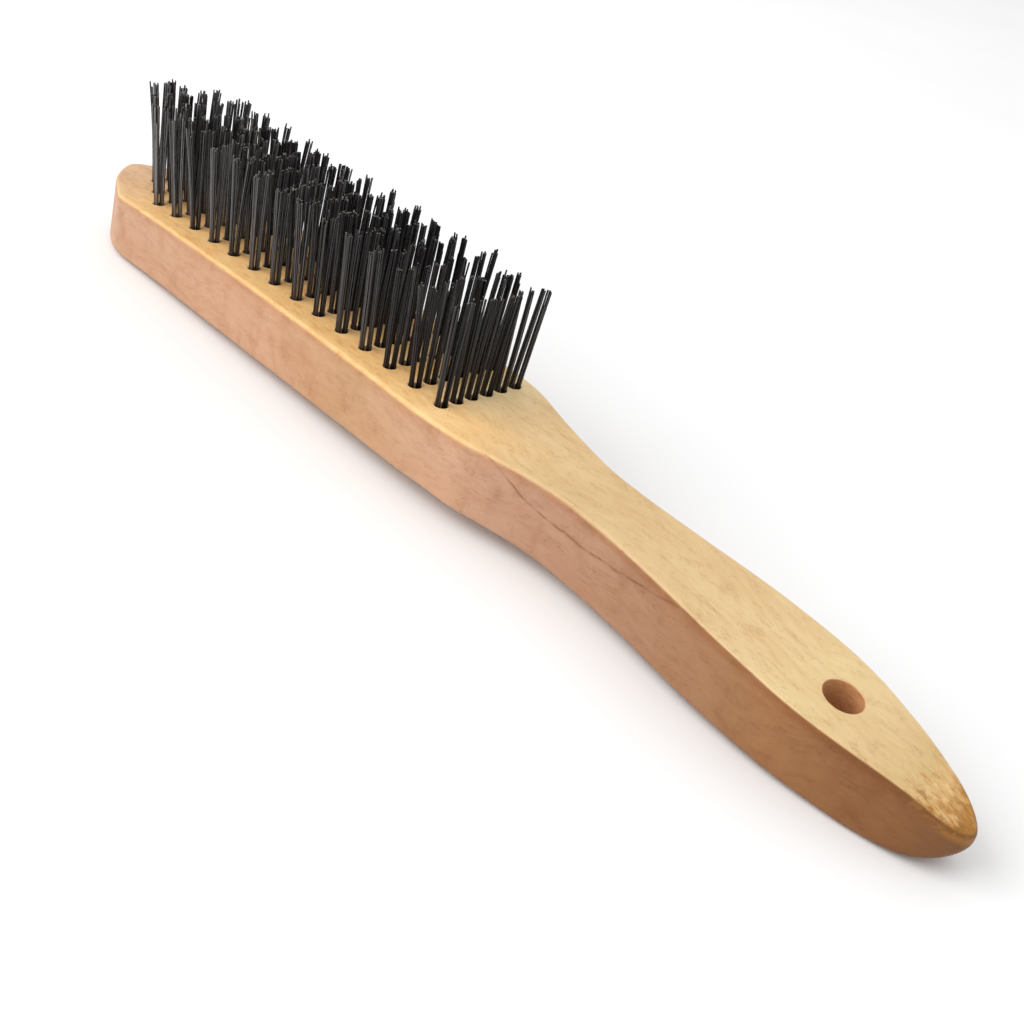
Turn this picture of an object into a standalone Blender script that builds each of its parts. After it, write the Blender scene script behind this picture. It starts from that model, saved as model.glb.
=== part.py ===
"""Wire brush: a shoe-shaped wooden handle block set with 90 tufts of dark steel wire.

The brush is modelled with its tufted face level, X along the brush from nose to tip and x = 0 at the
first full rank of tufts, then turned to the way it lies on its back, on the nose and on the tip.
"""
import bmesh
import bpy
import math
import random
from mathutils import Matrix, Vector

MM = 0.001

# Tuft field
RANK_PITCH = 8.6          # between ranks, along the brush
ROW_PITCH = 4.16          # between rows, across the brush
RANKS, ROWS = 14, 6
NOSE_RANKS = ((-0.9, 4), (-1.8, 2))   # place in rank pitches, tufts across
FIELD_SIDE = 1.35         # the drilled field sits a little to the far side

# Handle outline, stations along X
NOSE_END, NOSE_START = -31.8, -6.0
NOSE_PULL, NOSE_BLUNT = 10.5, 4.9
SHOULDER_START, WAIST, WAIST_END = 108.5, 151.0, 154.8
GRIP, TIP_END = 201.0, 239.8
TIP_PULL, TIP_BLUNT = 16.5, 6.3
BLOCK_HALF, WAIST_HALF, GRIP_HALF = 16.45, 8.85, 11.6
# Along the brush: how far the sides lean in from back to face, and how far its middle strays from y = 0
DRAFT = ((-16.0, 1.1), (-7.0, 0.0), (205.0, 0.0), (228.0, 0.85), (TIP_END, 0.3))
SWAY = ((112.0, 0.55), (128.0, -0.5), (185.0, -0.5), (203.0, -0.3), (222.0, -0.2), (TIP_END, -0.9))

# Handle profile
BACK = -15.9              # back of the block below the face at the first rank
CROWN = 0.86              # rise of the tufted face in the middle of the field
BACK_BEND = 116.0         # where the back starts to fall away
BACK_FALL = 0.067
HEEL_DROP, HEEL_LENGTH, HEEL_POWER = 8.64, 127.3, 2.76   # the face's fall behind the field
LIFT_START, TIP_LIFT = 221.0, 2.6     # the back rounds up again under the tip
ROUND_START, BACK_ROUND, FACE_ROUND = 228.0, 3.7, 1.0   # back and face round off at the tip's end
ARRIS = 1.5               # radius of the rounded edges
ARRIS_STEPS = 4

# Hang hole
HANG_X, HANG_Y, HANG_RADIUS = 210.5, -0.3, 3.8

# Tufts
GAP = 0.3                 # free space between wire and wood
TUFT_RADIUS = 1.4
HOLE_SIDES, TUFT_SIDES = 8, 6
HOLE_DEPTH = 10.5
BLADE_THICK, BLADE_HEIGHT = 0.7, 2.0
TRIM_HEIGHT, TRIM_FALL = 24.0, 0.0135   # the wires are cut to one plane, a little lower towards the handle
LENGTH_SPREAD = 0.8       # uneven cut of the tips
LEG_SPREAD = 0.25         # the legs open towards the tips
LEAN_ALONG, LEAN_ACROSS = 0.05, 0.09

FIELD_LENGTH = (RANKS - 1) * RANK_PITCH


def clear_scene():
    for item in list(bpy.data.objects):
        bpy.data.objects.remove(item, do_unlink=True)


def new_collection(name):
    made = bpy.data.collections.new(name)
    bpy.context.scene.collection.children.link(made)
    return made


def material(name, colour, roughness, metallic):
    made = bpy.data.materials.new(name)
    made.use_nodes = True
    shader = made.node_tree.nodes["Principled BSDF"]
    shader.inputs["Base Color"].default_value = (*colour, 1.0)
    shader.inputs["Roughness"].default_value = roughness
    shader.inputs["Metallic"].default_value = metallic
    made.diffuse_color = (*colour, 1.0)
    return made


def object_from(bm, name, collection):
    """A mesh object in metres from a bmesh in millimetres."""
    bmesh.ops.recalc_face_normals(bm, faces=bm.faces)
    bmesh.ops.scale(bm, vec=(MM, MM, MM), verts=bm.verts)
    mesh = bpy.data.meshes.new(name)
    bm.to_mesh(mesh)
    bm.free()
    made = bpy.data.objects.new(name, mesh)
    collection.objects.link(made)
    return made


def shade(item, degrees):
    item.data.shade_smooth()
    item.data.set_sharp_from_angle(angle=math.radians(degrees))


# Handle

def face_height(x):
    """Height of the tufted face and of the handle's top at x."""
    if x <= FIELD_LENGTH:
        half = FIELD_LENGTH / 2
        return CROWN * (1 - ((x - half) / half) ** 2)
    run = x - FIELD_LENGTH
    fall = 4 * CROWN / FIELD_LENGTH * run + HEEL_DROP * (run / HEEL_LENGTH) ** HEEL_POWER
    return -fall - FACE_ROUND * (max(0.0, x - ROUND_START) / (TIP_END - ROUND_START)) ** 2


def back_height(x):
    """Height of the back at x: level under the block, then falling straight to the grip's end."""
    lift = TIP_LIFT * (max(0.0, x - LIFT_START) / (TIP_END - LIFT_START)) ** 2
    lift += BACK_ROUND * (max(0.0, x - ROUND_START) / (TIP_END - ROUND_START)) ** 3
    return BACK - BACK_FALL * max(0.0, x - BACK_BEND) + lift


def bezier(a, b, c, d, t):
    s = 1 - t
    return a * s ** 3 + 3 * b * s * s * t + 3 * c * s * t * t + d * t ** 3


def ease(t):
    return (1 - math.cos(math.pi * t)) / 2


def outline():
    """One side of the handle's plan from nose to tip, as (x, half width), its first and last point on the
    centre line."""
    points = []
    steps = 12
    for i in range(steps):
        t = i / steps
        points.append((bezier(NOSE_END, NOSE_END, NOSE_START - NOSE_PULL, NOSE_START, t),
                       bezier(0, NOSE_BLUNT, BLOCK_HALF, BLOCK_HALF, t)))
    steps = 8
    for i in range(steps):
        points.append((NOSE_START + (SHOULDER_START - NOSE_START) * i / steps, BLOCK_HALF))
    steps = 12
    for i in range(steps + 1):
        t = i / steps
        points.append((SHOULDER_START + (WAIST - SHOULDER_START) * t,
                       BLOCK_HALF + (WAIST_HALF - BLOCK_HALF) * ease(t)))
    steps = 10
    for i in range(steps):
        t = i / steps
        points.append((WAIST_END + (GRIP - WAIST_END) * t,
                       WAIST_HALF + (GRIP_HALF - WAIST_HALF) * ease(t)))
    steps = 14
    for i in range(steps + 1):
        t = i / steps
        points.append((bezier(GRIP, GRIP + TIP_PULL, TIP_END, TIP_END, t),
                       bezier(GRIP_HALF, GRIP_HALF, TIP_BLUNT, 0, t)))
    return points


def along_stations(stations, x):
    """The value at x, eased from one (x, value) station to the next and held beyond the ends."""
    start, before = stations[0]
    for place, value in stations[1:]:
        if x < place:
            return before + (value - before) * ease(max(0.0, x - start) / (place - start))
        start, before = place, value
    return before


def inset(points, depths):
    """The outline moved inwards, square to itself."""
    moved = []
    for i, ((x, y), depth) in enumerate(zip(points, depths)):
        if i in (0, len(points) - 1):
            moved.append((x + (depth if i == 0 else -depth), 0.0))
            continue
        along = Vector(points[i + 1]) - Vector(points[i - 1])
        along.normalize()
        moved.append((x + along.y * depth, y - along.x * depth))
    return moved


def build_block(collection):
    side = outline()
    angles = [math.pi / 2 * i / ARRIS_STEPS for i in range(ARRIS_STEPS + 1)]
    levels = [(ARRIS * (1 - math.sin(a)), ARRIS * (1 - math.cos(a)), False) for a in angles]
    levels += [(ARRIS * (1 - math.cos(a)), ARRIS * (1 - math.sin(a)), True) for a in angles]
    bm = bmesh.new()
    last = len(side) - 1
    rings = []
    for depth, rise, top in levels:
        ring = []
        half = inset(side, [depth + (along_stations(DRAFT, x) if top else 0.0) for x, _ in side])
        for sign, order in ((-1, range(last + 1)), (1, range(last - 1, 0, -1))):
            for i in order:
                x, y = half[i]
                z = face_height(x) - rise if top else back_height(x) + rise
                ring.append(bm.verts.new((x, along_stations(SWAY, x) + sign * y, z)))
        rings.append(ring)
    count = len(rings[0])
    for low, high in zip(rings, rings[1:]):
        for i in range(count):
            j = (i + 1) % count
            bm.faces.new((low[i], low[j], high[j], high[i]))
    for ring in (rings[0], rings[-1]):
        left = ring[:last + 1]
        right = [ring[0]] + ring[:last:-1] + [ring[last]]
        for i in range(last):
            corners = [left[i], left[i + 1], right[i + 1], right[i]]
            corners = [v for n, v in enumerate(corners) if v not in corners[:n]]
            bm.faces.new(corners)
    return object_from(bm, "handle", collection)


def tuft_places():
    """Every tuft as rank and row names with its place: {(rank, row): (x, y)}. Ranks 1 and 2 are the nose."""
    places = {}
    for number, (along, across) in enumerate(reversed(NOSE_RANKS), 1):
        for k in range(across):
            row = k + (ROWS - across) / 2
            side = FIELD_SIDE + (row - (ROWS - 1) / 2) * ROW_PITCH
            places[number, int(row) + 1] = (along * RANK_PITCH, side)
    for rank in range(RANKS):
        for row in range(ROWS):
            side = FIELD_SIDE + (row - (ROWS - 1) / 2) * ROW_PITCH
            places[rank + len(NOSE_RANKS) + 1, row + 1] = (rank * RANK_PITCH, side)
    return places


def tuft_groups(places):
    """Neighbours along the brush that share a blade, and the ones left over."""
    groups = []
    for row in range(1, ROWS + 1):
        ranks = sorted(rank for rank, r in places if r == row)
        if len(ranks) % 2:
            groups.append([(ranks[0], row)])
            ranks = ranks[1:]
        groups += [[(a, row), (b, row)] for a, b in zip(ranks[::2], ranks[1::2])]
    return groups


def drill(block, places, groups, cutters):
    """Tuft holes, blade slots and the hang hole."""
    flat = math.cos(math.pi / HOLE_SIDES)
    radius = (TUFT_RADIUS + GAP) / flat
    holes = bmesh.new()
    for x, y in places.values():
        top = face_height(x) + 5.0
        bottom = face_height(x) - HOLE_DEPTH
        bmesh.ops.create_cone(holes, cap_ends=True, segments=HOLE_SIDES, radius1=radius, radius2=radius,
                              depth=top - bottom,
                              matrix=Matrix.Translation((x, y, (top + bottom) / 2))
                              @ Matrix.Rotation(math.pi / HOLE_SIDES, 4, "Z"))
    slots = bmesh.new()
    for group in groups:
        if len(group) < 2:
            continue
        (x1, y), (x2, _) = (places[key] for key in group)
        bottom = (face_height(x1) + face_height(x2)) / 2 - HOLE_DEPTH + 0.5 * GAP
        height = BLADE_HEIGHT + 2 * GAP
        middle = Matrix.Translation(((x1 + x2) / 2, y, bottom + height / 2))
        size = (x2 - x1 - TUFT_RADIUS, BLADE_THICK + 2 * GAP, height, 1.0)
        bmesh.ops.create_cube(slots, size=1.0, matrix=middle @ Matrix.Diagonal(size))
    hang = bmesh.new()
    bmesh.ops.create_cone(hang, cap_ends=True, segments=32, radius1=HANG_RADIUS, radius2=HANG_RADIUS,
                          depth=60.0, matrix=Matrix.Translation((HANG_X, HANG_Y, face_height(HANG_X))))
    for name, bm in (("hole_cutter", holes), ("slot_cutter", slots), ("hang_cutter", hang)):
        cutter = object_from(bm, name, cutters)
        cutter.hide_render = True
        cutter.display_type = "WIRE"
        cut = block.modifiers.new(name, "BOOLEAN")
        cut.operation = "DIFFERENCE"
        cut.solver = "EXACT"
        cut.object = cutter


# Tufts

def raise_faces(bm, faces, step, keep=False):
    """Extrude the faces by step and return the new top faces."""
    region = list(faces)
    region += list({e for f in faces for e in f.edges}) + list({v for f in faces for v in f.verts})
    grown = bmesh.ops.extrude_face_region(bm, geom=region, use_keep_orig=keep)["geom"]
    bmesh.ops.translate(bm, vec=step, verts=[g for g in grown if isinstance(g, bmesh.types.BMVert)])
    return [g for g in grown if isinstance(g, bmesh.types.BMFace)]


def add_tuft(bm, x, y, row, rng):
    """A bunch of wire folded in two. Returns the blade-side face of the fold towards -X and towards +X."""
    floor = face_height(x) - HOLE_DEPTH + GAP
    before = set(bm.faces)
    bmesh.ops.create_circle(bm, cap_ends=True, segments=TUFT_SIDES, radius=TUFT_RADIUS,
                            matrix=Matrix.Translation((x, y, floor)))
    for offset in (-BLADE_THICK / 2, BLADE_THICK / 2):
        sheet = [face for face in bm.faces if face not in before]
        parts = sheet + [e for f in sheet for e in f.edges] + [v for f in sheet for v in f.verts]
        bmesh.ops.bisect_plane(bm, geom=list(dict.fromkeys(parts)),
                               plane_co=(x, y + offset, floor), plane_no=(0, 1, 0))
    sheet = [face for face in bm.faces if face not in before]
    tops = raise_faces(bm, sheet, Vector((0, 0, BLADE_HEIGHT)), keep=True)
    fold = [face for face in bm.faces if face not in before]
    reach = TUFT_RADIUS * math.cos(math.pi / TUFT_SIDES) / 2
    blade_sides = []
    for sign in (-1, 1):
        blade_sides.append(next(
            f for f in fold if all((v.co.x - x) * sign > reach for v in f.verts)
            and abs(f.calc_center_median().y - y) < BLADE_THICK / 4))
    middle = FIELD_LENGTH / 2
    lean = Vector((LEAN_ALONG * max(-1.0, (x - middle) / middle) ** 3,
                   LEAN_ACROSS * (row - 1) / (ROWS - 1), 1.0))
    for top in [t for t in tops if abs(t.calc_center_median().y - y) > 0.1]:
        away = 1 if top.calc_center_median().y > y else -1
        length = TRIM_HEIGHT - TRIM_FALL * x - face_height(x) + rng.uniform(-LENGTH_SPREAD, LENGTH_SPREAD)
        start = HOLE_DEPTH - GAP - BLADE_HEIGHT
        for step in (Vector((0, 0, start)), lean * length + Vector((0, away * LEG_SPREAD, 0))):
            top, = raise_faces(bm, [top], step)
    return blade_sides


def build_tufts(group, places, rng, collection):
    bm = bmesh.new()
    faces = []
    for rank, row in group:
        faces.append(add_tuft(bm, *places[rank, row], row, rng))
    if len(group) == 2:
        facing = (faces[0][1], faces[1][0])
        edges = [e for face in facing for e in face.edges]
        bmesh.ops.delete(bm, geom=list(facing), context="FACES_ONLY")
        bmesh.ops.bridge_loops(bm, edges=edges)
    ranks = "_".join(f"{rank:02d}" for rank, _ in group)
    return object_from(bm, f"tufts_row{group[0][1]}_rank{ranks}", collection)


# Whole brush

def lay_down(items):
    """Turn the brush to lie on nose and tip, and put the origin under the middle of its box."""
    nose = NOSE_END + ARRIS
    slope = min((back_height(x) - back_height(nose)) / (x - nose) for x, _ in outline() if x > BACK_BEND)
    turn = Matrix.Rotation(math.atan(slope), 4, "Y")
    for item in items:
        item.data.transform(turn)
    corners = [v.co for v in items[0].data.vertices]
    low = Vector(min(c[k] for c in corners) for k in range(3))
    high = Vector(max(c[k] for c in corners) for k in range(3))
    move = Matrix.Translation((-(low.x + high.x) / 2, -(low.y + high.y) / 2, -low.z))
    for item in items:
        item.data.transform(move)
        item.data.update()


def main():
    clear_scene()
    brush = new_collection("wire_brush")
    cutters = new_collection("cutters")
    wood = material("beech_wood", (0.80, 0.58, 0.34), 0.62, 0.0)
    places = tuft_places()
    groups = tuft_groups(places)
    block = build_block(brush)
    drill(block, places, groups, cutters)
    block.data.materials.append(wood)
    rng = random.Random(11)
    tufts = []
    for number, group in enumerate(groups):
        made = build_tufts(group, places, rng, brush)
        shine = 0.42 + 0.04 * (number % 3)
        made.data.materials.append(material(f"wire_{made.name}", (0.045, 0.043, 0.045), shine, 0.85))
        tufts.append(made)
    lay_down([block] + tufts + list(cutters.objects))
    for item in tufts:
        shade(item, 40)
    shade(block, 30)


main()
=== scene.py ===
"""Looks of the wire brush: a sanded beech block, and every tuft made of single folded steel wires."""
import math
import random
from collections import namedtuple

import bpy
from mathutils import Matrix, Vector, noise


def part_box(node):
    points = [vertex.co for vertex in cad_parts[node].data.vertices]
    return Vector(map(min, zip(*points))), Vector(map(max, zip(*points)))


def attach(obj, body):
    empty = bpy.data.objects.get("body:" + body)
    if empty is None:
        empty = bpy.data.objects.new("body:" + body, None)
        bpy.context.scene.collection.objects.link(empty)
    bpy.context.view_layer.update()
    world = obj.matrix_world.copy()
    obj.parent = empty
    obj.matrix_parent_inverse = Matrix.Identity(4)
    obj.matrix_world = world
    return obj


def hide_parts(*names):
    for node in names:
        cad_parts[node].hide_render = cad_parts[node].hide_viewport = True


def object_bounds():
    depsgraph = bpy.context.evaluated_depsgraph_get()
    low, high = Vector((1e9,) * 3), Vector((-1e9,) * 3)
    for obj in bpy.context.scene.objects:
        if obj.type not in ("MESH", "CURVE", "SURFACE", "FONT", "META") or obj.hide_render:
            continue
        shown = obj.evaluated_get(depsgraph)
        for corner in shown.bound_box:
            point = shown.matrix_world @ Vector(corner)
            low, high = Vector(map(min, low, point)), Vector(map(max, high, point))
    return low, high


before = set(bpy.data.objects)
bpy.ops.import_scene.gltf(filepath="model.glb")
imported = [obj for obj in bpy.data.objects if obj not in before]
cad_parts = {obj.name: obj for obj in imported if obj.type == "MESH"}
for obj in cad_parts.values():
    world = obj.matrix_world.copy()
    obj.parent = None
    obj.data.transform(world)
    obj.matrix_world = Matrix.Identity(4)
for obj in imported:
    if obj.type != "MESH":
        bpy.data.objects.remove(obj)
cad_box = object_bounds()

MM = 0.001

# The brush, in millimetres in the block's own frame as in the CAD: X along it, x = 0 at the first full
# rank, y = 0 on the handle's centre line, z = 0 on the tufted face at x = 0
RANK_PITCH, ROW_PITCH = 8.6, 4.16
RANKS, ROWS = 14, 6
NOSE_RANKS = ((-0.9, 4), (-1.8, 2))   # place in rank pitches, tufts across
FIELD_SIDE = 1.35                     # the tuft field's middle, off the centre line
FIELD_LENGTH = (RANKS - 1) * RANK_PITCH

NOSE_END, NOSE_START = -31.8, -6.0
NOSE_PULL, NOSE_BLUNT = 10.5, 4.9
SHOULDER_START, WAIST, WAIST_END = 108.5, 151.0, 154.8
GRIP, TIP_END = 201.0, 239.8
TIP_PULL, TIP_BLUNT = 16.5, 6.3
BLOCK_HALF, WAIST_HALF, GRIP_HALF = 16.45, 8.85, 11.6
NOSE_STEPS, BLOCK_STEPS, SHOULDER_STEPS, GRIP_STEPS, TIP_STEPS = 40, 50, 40, 40, 60

# Along the brush, as (x, value): how far the sides lean in from back to face, and how far its middle
# strays from y = 0
DRAFT = ((-16.0, 1.1), (-7.0, 0.0), (205.0, 0.0), (228.0, 0.85), (TIP_END, 0.0))
SWAY = ((112.0, 0.55), (128.0, -0.5), (185.0, -0.5), (203.0, -0.3), (222.0, -0.2), (TIP_END, -0.9))
BACK, CROWN = -15.9, 0.86
BACK_BEND, BACK_FALL = 116.0, 0.067
HEEL_DROP, HEEL_LENGTH, HEEL_POWER = 8.64, 127.3, 2.76   # the face's fall behind the field
LIFT_START, TIP_LIFT = 221.0, 2.6                        # the back rounds up again under the tip
ROUND_START, BACK_ROUND, FACE_ROUND = 228.0, 3.7, 1.0    # back and face round off at the tip's end

# Radius of the rounded edges along the brush, as (x, radius): the face's edge and the back's
FACE_ARRIS = ((-16.0, 1.0), (10.0, 1.3), (110.0, 1.4), (150.0, 1.2), (185.0, 0.65), (232.0, 0.65),
              (TIP_END, 1.3))
BACK_ARRIS = ((-16.0, 0.9), (10.0, 1.5), (228.0, 1.5), (TIP_END, 2.2))
LYING_ARRIS = 1.5                     # the CAD's radius, which sets how the brush lies
ARRIS_STEPS, SIDE_STEPS = 8, 4
ARRIS_DRIFT, ARRIS_WAVE = 0.16, 9.0   # how far hand sanding strays on the edges, and over what length
SIDE_DRIFT, SIDE_WAVE, SIDE_WAVE_UP = 0.07, 11.0, 7.0
STEADY_END = 8.0                      # the edges don't stray within this length of nose and tip
# Chips in the near edge of the tip: place, width, depth
CHIPS = ((229.6, 0.9, 0.5), (232.3, 0.6, 0.45), (235.4, 0.7, 0.3))

HANG_X, HANG_Y, HANG_RADIUS, HANG_LIP = 210.5, -0.3, 3.8, 0.15
HANG_SIDES, HANG_LIP_STEPS, HANG_CLEAR = 64, 4, 3.0
HOLE_RADIUS, HOLE_LIP, HOLE_DEPTH, DRILL_POINT = 1.45, 0.16, 10.2, 0.8
HOLE_SIDES, HOLE_CLEAR, DRILL_TIP_RADIUS = 20, 1.0, 0.15
BLOCK_SHARP, WIRE_SHARP = 32, 62      # edges steeper than this stay sharp, in degrees

WIRE_RADIUS = 0.20
LEG_APART = ((45.0, 0.66), (95.0, 0.86))     # from the tuft's middle to each leg's, along the brush
STRIP_TURN, STRIP_TURN_LUCK = 16.0, 5.0      # the strips are driven in a little askew, in degrees
STRIP_TURN_WAVE = 3.0                        # length over which the askew angle changes
FOLD_RISE = 1.2                              # the strip's lower edge above the bottom of the hole
STRIP_THICK, STRIP_HEIGHT, STRIP_LENGTH, STRIP_EASE = 0.6, 2.0, 3.4, 0.12
TRIM_HEIGHT, TRIM_FALL = 24.0, 0.0135        # the tips' height at x = 0, and its fall along the brush
LEG_LENGTH_SPREAD, WIRE_LENGTH_SPREAD = 0.6, 0.30
LEG_SPREAD = ((-10.0, 0.90), (50.0, 0.60), (110.0, 0.10))      # how far the legs open at their tips
WIRE_FAN = ((-10.0, 0.95), (50.0, 0.55), (110.0, -0.08))       # and how far the wires of a leg part
LEG_SPREAD_LUCK, WIRE_SPREAD_LUCK = 0.32, 0.085
SPLAY_POWER, BOW = 1.4, 0.05
TUFT_LEAN_LUCK = 0.40                        # how far a whole tuft strays at its tips
LEAN_ALONG, LEAN_ACROSS = 0.05, 0.09
SHORT_SHARE, SHORTER_BY = 0.06, (1.0, 4.0)   # share of broken-off wires, and what they lack
LONG_SHARE, LONGER_BY = 0.03, (0.4, 1.0)
STRAY_SHARE, STRAY_TIMES = 0.06, 3.5         # share of stray wires, and how much further they part
SHEAR = 0.5                                  # steepest slope of a cut end
WIRE_PACKING = 2.06                          # pitch of the wires in a leg, in wire radii
END_SEATS = ((1.75, 0.10), (1.60, -0.25))    # a leg's outer wires: pitches along the strip, mm across
DENSE_END = 80.0                             # the legs hold fewer wires behind this place
DENSE_COUNTS, SPARSE_COUNTS = (9, 10, 11), (7, 8, 9)
WIRE_SIDES, LEG_STEPS, FOLD_STEPS = 7, 5, 3
FIRST_SEED = 100

# Camera at the photograph's angle, in the block's frame
CAMERA_PLACE = (279.5, -175.1, 124.1)
AZIMUTH, ELEVATION, ROLL = 40.69, 31.75, 12.50
LENS, SENSOR = 45.66, 36.0
NEAR_CLIP, FAR_CLIP = 0.01, 20.0

# Studio, in metres and watts
FLOOR_RADIUS, FLOOR_SIDES, FLOOR_GAP = 1.15, 96, 0.0001
HORIZON, OVERHEAD = 1.0, 0.22         # strength of the surrounding light, low down and high up
FADE_LOW, FADE_HIGH = 0.25, 0.65      # the rise, as a share of one, over which it changes
# Name, place, aim, size, power
SOFTBOXES = (("overhead", (-0.3, 0.2, 2.0), (-0.3, 0.2, 0.0), (4.5, 4.5), 54.0),
             ("front", (-0.70, -0.95, 0.90), (-0.05, 0.0, 0.02), (1.3, 1.1), 13.5))

Bunch = namedtuple("Bunch", "spread longer stray")   # what one leg's wires have in common


# Shape of the block

def ease(t):
    return (1 - math.cos(math.pi * t)) / 2


def bezier(a, b, c, d, t):
    s = 1 - t
    return a * s ** 3 + 3 * b * s * s * t + 3 * c * s * t * t + d * t ** 3


def along_stations(stations, x):
    """The value at x, eased from one (x, value) station to the next and held beyond the ends."""
    start, before = stations[0]
    for place, value in stations[1:]:
        if x < place:
            return before + (value - before) * ease(max(0.0, x - start) / (place - start))
        start, before = place, value
    return before


def into_tip(x, start):
    """How far x is from start to the tip's end, as a share of one."""
    return max(0.0, x - start) / (TIP_END - start)


def face_height(x):
    """Height of the tufted face and of the handle's top at x."""
    if x <= FIELD_LENGTH:
        half = FIELD_LENGTH / 2
        return CROWN * (1 - ((x - half) / half) ** 2)
    run = x - FIELD_LENGTH
    fall = 4 * CROWN / FIELD_LENGTH * run + HEEL_DROP * (run / HEEL_LENGTH) ** HEEL_POWER
    return -fall - FACE_ROUND * into_tip(x, ROUND_START) ** 2


def back_height(x):
    """Height of the back at x."""
    lift = TIP_LIFT * into_tip(x, LIFT_START) ** 2
    lift += BACK_ROUND * into_tip(x, ROUND_START) ** 3
    return BACK - BACK_FALL * max(0.0, x - BACK_BEND) + lift


def steps(count, last=False):
    """Even steps from 0 to 1, without the 1 unless it is asked for."""
    return [i / count for i in range(count + (1 if last else 0))]


def outline():
    """One side of the handle's plan from nose to tip, as (x, half width)."""
    points = []
    for t in steps(NOSE_STEPS):
        points.append((bezier(NOSE_END, NOSE_END, NOSE_START - NOSE_PULL, NOSE_START, t),
                       bezier(0, NOSE_BLUNT, BLOCK_HALF, BLOCK_HALF, t)))
    for i in range(BLOCK_STEPS):
        points.append((NOSE_START + (SHOULDER_START - NOSE_START) * i / BLOCK_STEPS, BLOCK_HALF))
    for t in steps(SHOULDER_STEPS, last=True):
        points.append((SHOULDER_START + (WAIST - SHOULDER_START) * t,
                       BLOCK_HALF + (WAIST_HALF - BLOCK_HALF) * ease(t)))
    for t in steps(GRIP_STEPS):
        points.append((WAIST_END + (GRIP - WAIST_END) * t,
                       WAIST_HALF + (GRIP_HALF - WAIST_HALF) * ease(t)))
    for t in steps(TIP_STEPS, last=True):
        points.append((bezier(GRIP, GRIP + TIP_PULL, TIP_END, TIP_END, t),
                       bezier(GRIP_HALF, GRIP_HALF, TIP_BLUNT, 0, t)))
    return points


def arris_radius(x, side, top):
    """Radius of the rounded edge at x: side is -1 near, 1 far, 0 at the ends."""
    radius = along_stations(FACE_ARRIS if top else BACK_ARRIS, x)
    if side:
        # The last two coordinates give each of the four edges a noise of its own
        wave = noise.noise(Vector((x / ARRIS_WAVE, side * 3.7, 5.3 if top else 1.9)))
        loose = min(1.0, (x - NOSE_END) / STEADY_END, (TIP_END - x) / STEADY_END)
        radius += ARRIS_DRIFT * loose * wave
    if side < 0 and top:
        radius += sum(depth * math.exp(-((x - place) / width) ** 2) for place, width, depth in CHIPS)
    return radius


def inset(points, depths):
    """The outline moved inwards, square to itself."""
    moved = []
    last = len(points) - 1
    for i, ((x, y), depth) in enumerate(zip(points, depths)):
        if i in (0, last):
            moved.append((x + (depth if i == 0 else -depth), 0.0))
            continue
        along = (Vector(points[i + 1]) - Vector(points[i - 1])).normalized()
        moved.append((x + along.y * depth, y - along.x * depth))
    return moved


def edge_levels():
    """The rings of the block from back to top, as (inset, rise) in arris radii and which arris they
    belong to: -1 the lower, 1 the upper, or a share of the straight side between them."""
    angles = [math.pi / 2 * i / ARRIS_STEPS for i in range(ARRIS_STEPS + 1)]
    levels = [(1 - math.sin(a), 1 - math.cos(a), -1) for a in angles]
    levels += [(0.0, 1.0, i / SIDE_STEPS) for i in range(1, SIDE_STEPS)]
    levels += [(1 - math.cos(a), 1 - math.sin(a), 1) for a in angles]
    return levels


def half_ring(side, level, sign):
    """One level of the block along one long side, from nose to tip."""
    depth, rise, part = level
    share = max(0.0, part)
    last = len(side) - 1
    ends = [0 if i in (0, last) else sign for i in range(last + 1)]
    low = [arris_radius(x, end, False) for (x, _), end in zip(side, ends)]
    high = [arris_radius(x, end, True) for (x, _), end in zip(side, ends)]
    radii = low if part == -1 else high
    depths = [depth * radius + share * along_stations(DRAFT, x) for radius, (x, _) in zip(radii, side)]
    points = []
    for i, (x, y) in enumerate(inset(side, depths)):
        bottom = back_height(x) + rise * low[i]
        top = face_height(x) - rise * high[i]
        z = bottom + (top - bottom) * share
        drift = 0.0
        if ends[i]:
            drift = SIDE_DRIFT * noise.noise(Vector((x / SIDE_WAVE, sign * 2.3, z / SIDE_WAVE_UP)))
        points.append((x, along_stations(SWAY, x) + sign * (y + drift), z))
    return points


def lid(base, last, turn):
    """Faces that close the block across one ring: quads between its sides, triangles at its ends."""
    count = 2 * last
    faces = []
    for i in range(last):
        quad = (i, i + 1, (count - i - 1) % count, (count - i) % count)
        corners = [base + n for k, n in enumerate(quad) if n not in quad[:k]]
        faces.append(corners[::turn])
    return faces


def walls(levels, count):
    """Quads between rings of count vertices, one above the other."""
    faces = []
    for level in range(levels - 1):
        for i in range(count):
            a = level * count + i
            b = level * count + (i + 1) % count
            faces.append((a, b, b + count, a + count))
    return faces


def block_mesh():
    """The block without its holes, in millimetres."""
    side = outline()
    last = len(side) - 1
    levels = edge_levels()
    verts = []
    for level in levels:
        verts += half_ring(side, level, -1)
        verts += half_ring(side, level, 1)[last - 1:0:-1]
    count = 2 * last
    faces = walls(len(levels), count)
    faces += lid(0, last, -1)
    faces += lid((len(levels) - 1) * count, last, 1)
    return verts, faces


def turned(rings, x0, y0, sides):
    """A closed cutter round x0, y0 from rings of (radius, height function), each height taken where the
    ring's vertex is."""
    verts = []
    for radius, height in rings:
        for k in range(sides):
            a = 2 * math.pi * k / sides
            x, y = x0 + radius * math.cos(a), y0 + radius * math.sin(a)
            verts.append((x, y, height(x)))
    return verts, walls(len(rings), sides) + end_caps(len(rings), sides)


def end_caps(levels, count):
    """The two faces that close a stack of rings."""
    return [tuple(range(count))[::-1], tuple(range((levels - 1) * count, levels * count))]


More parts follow.
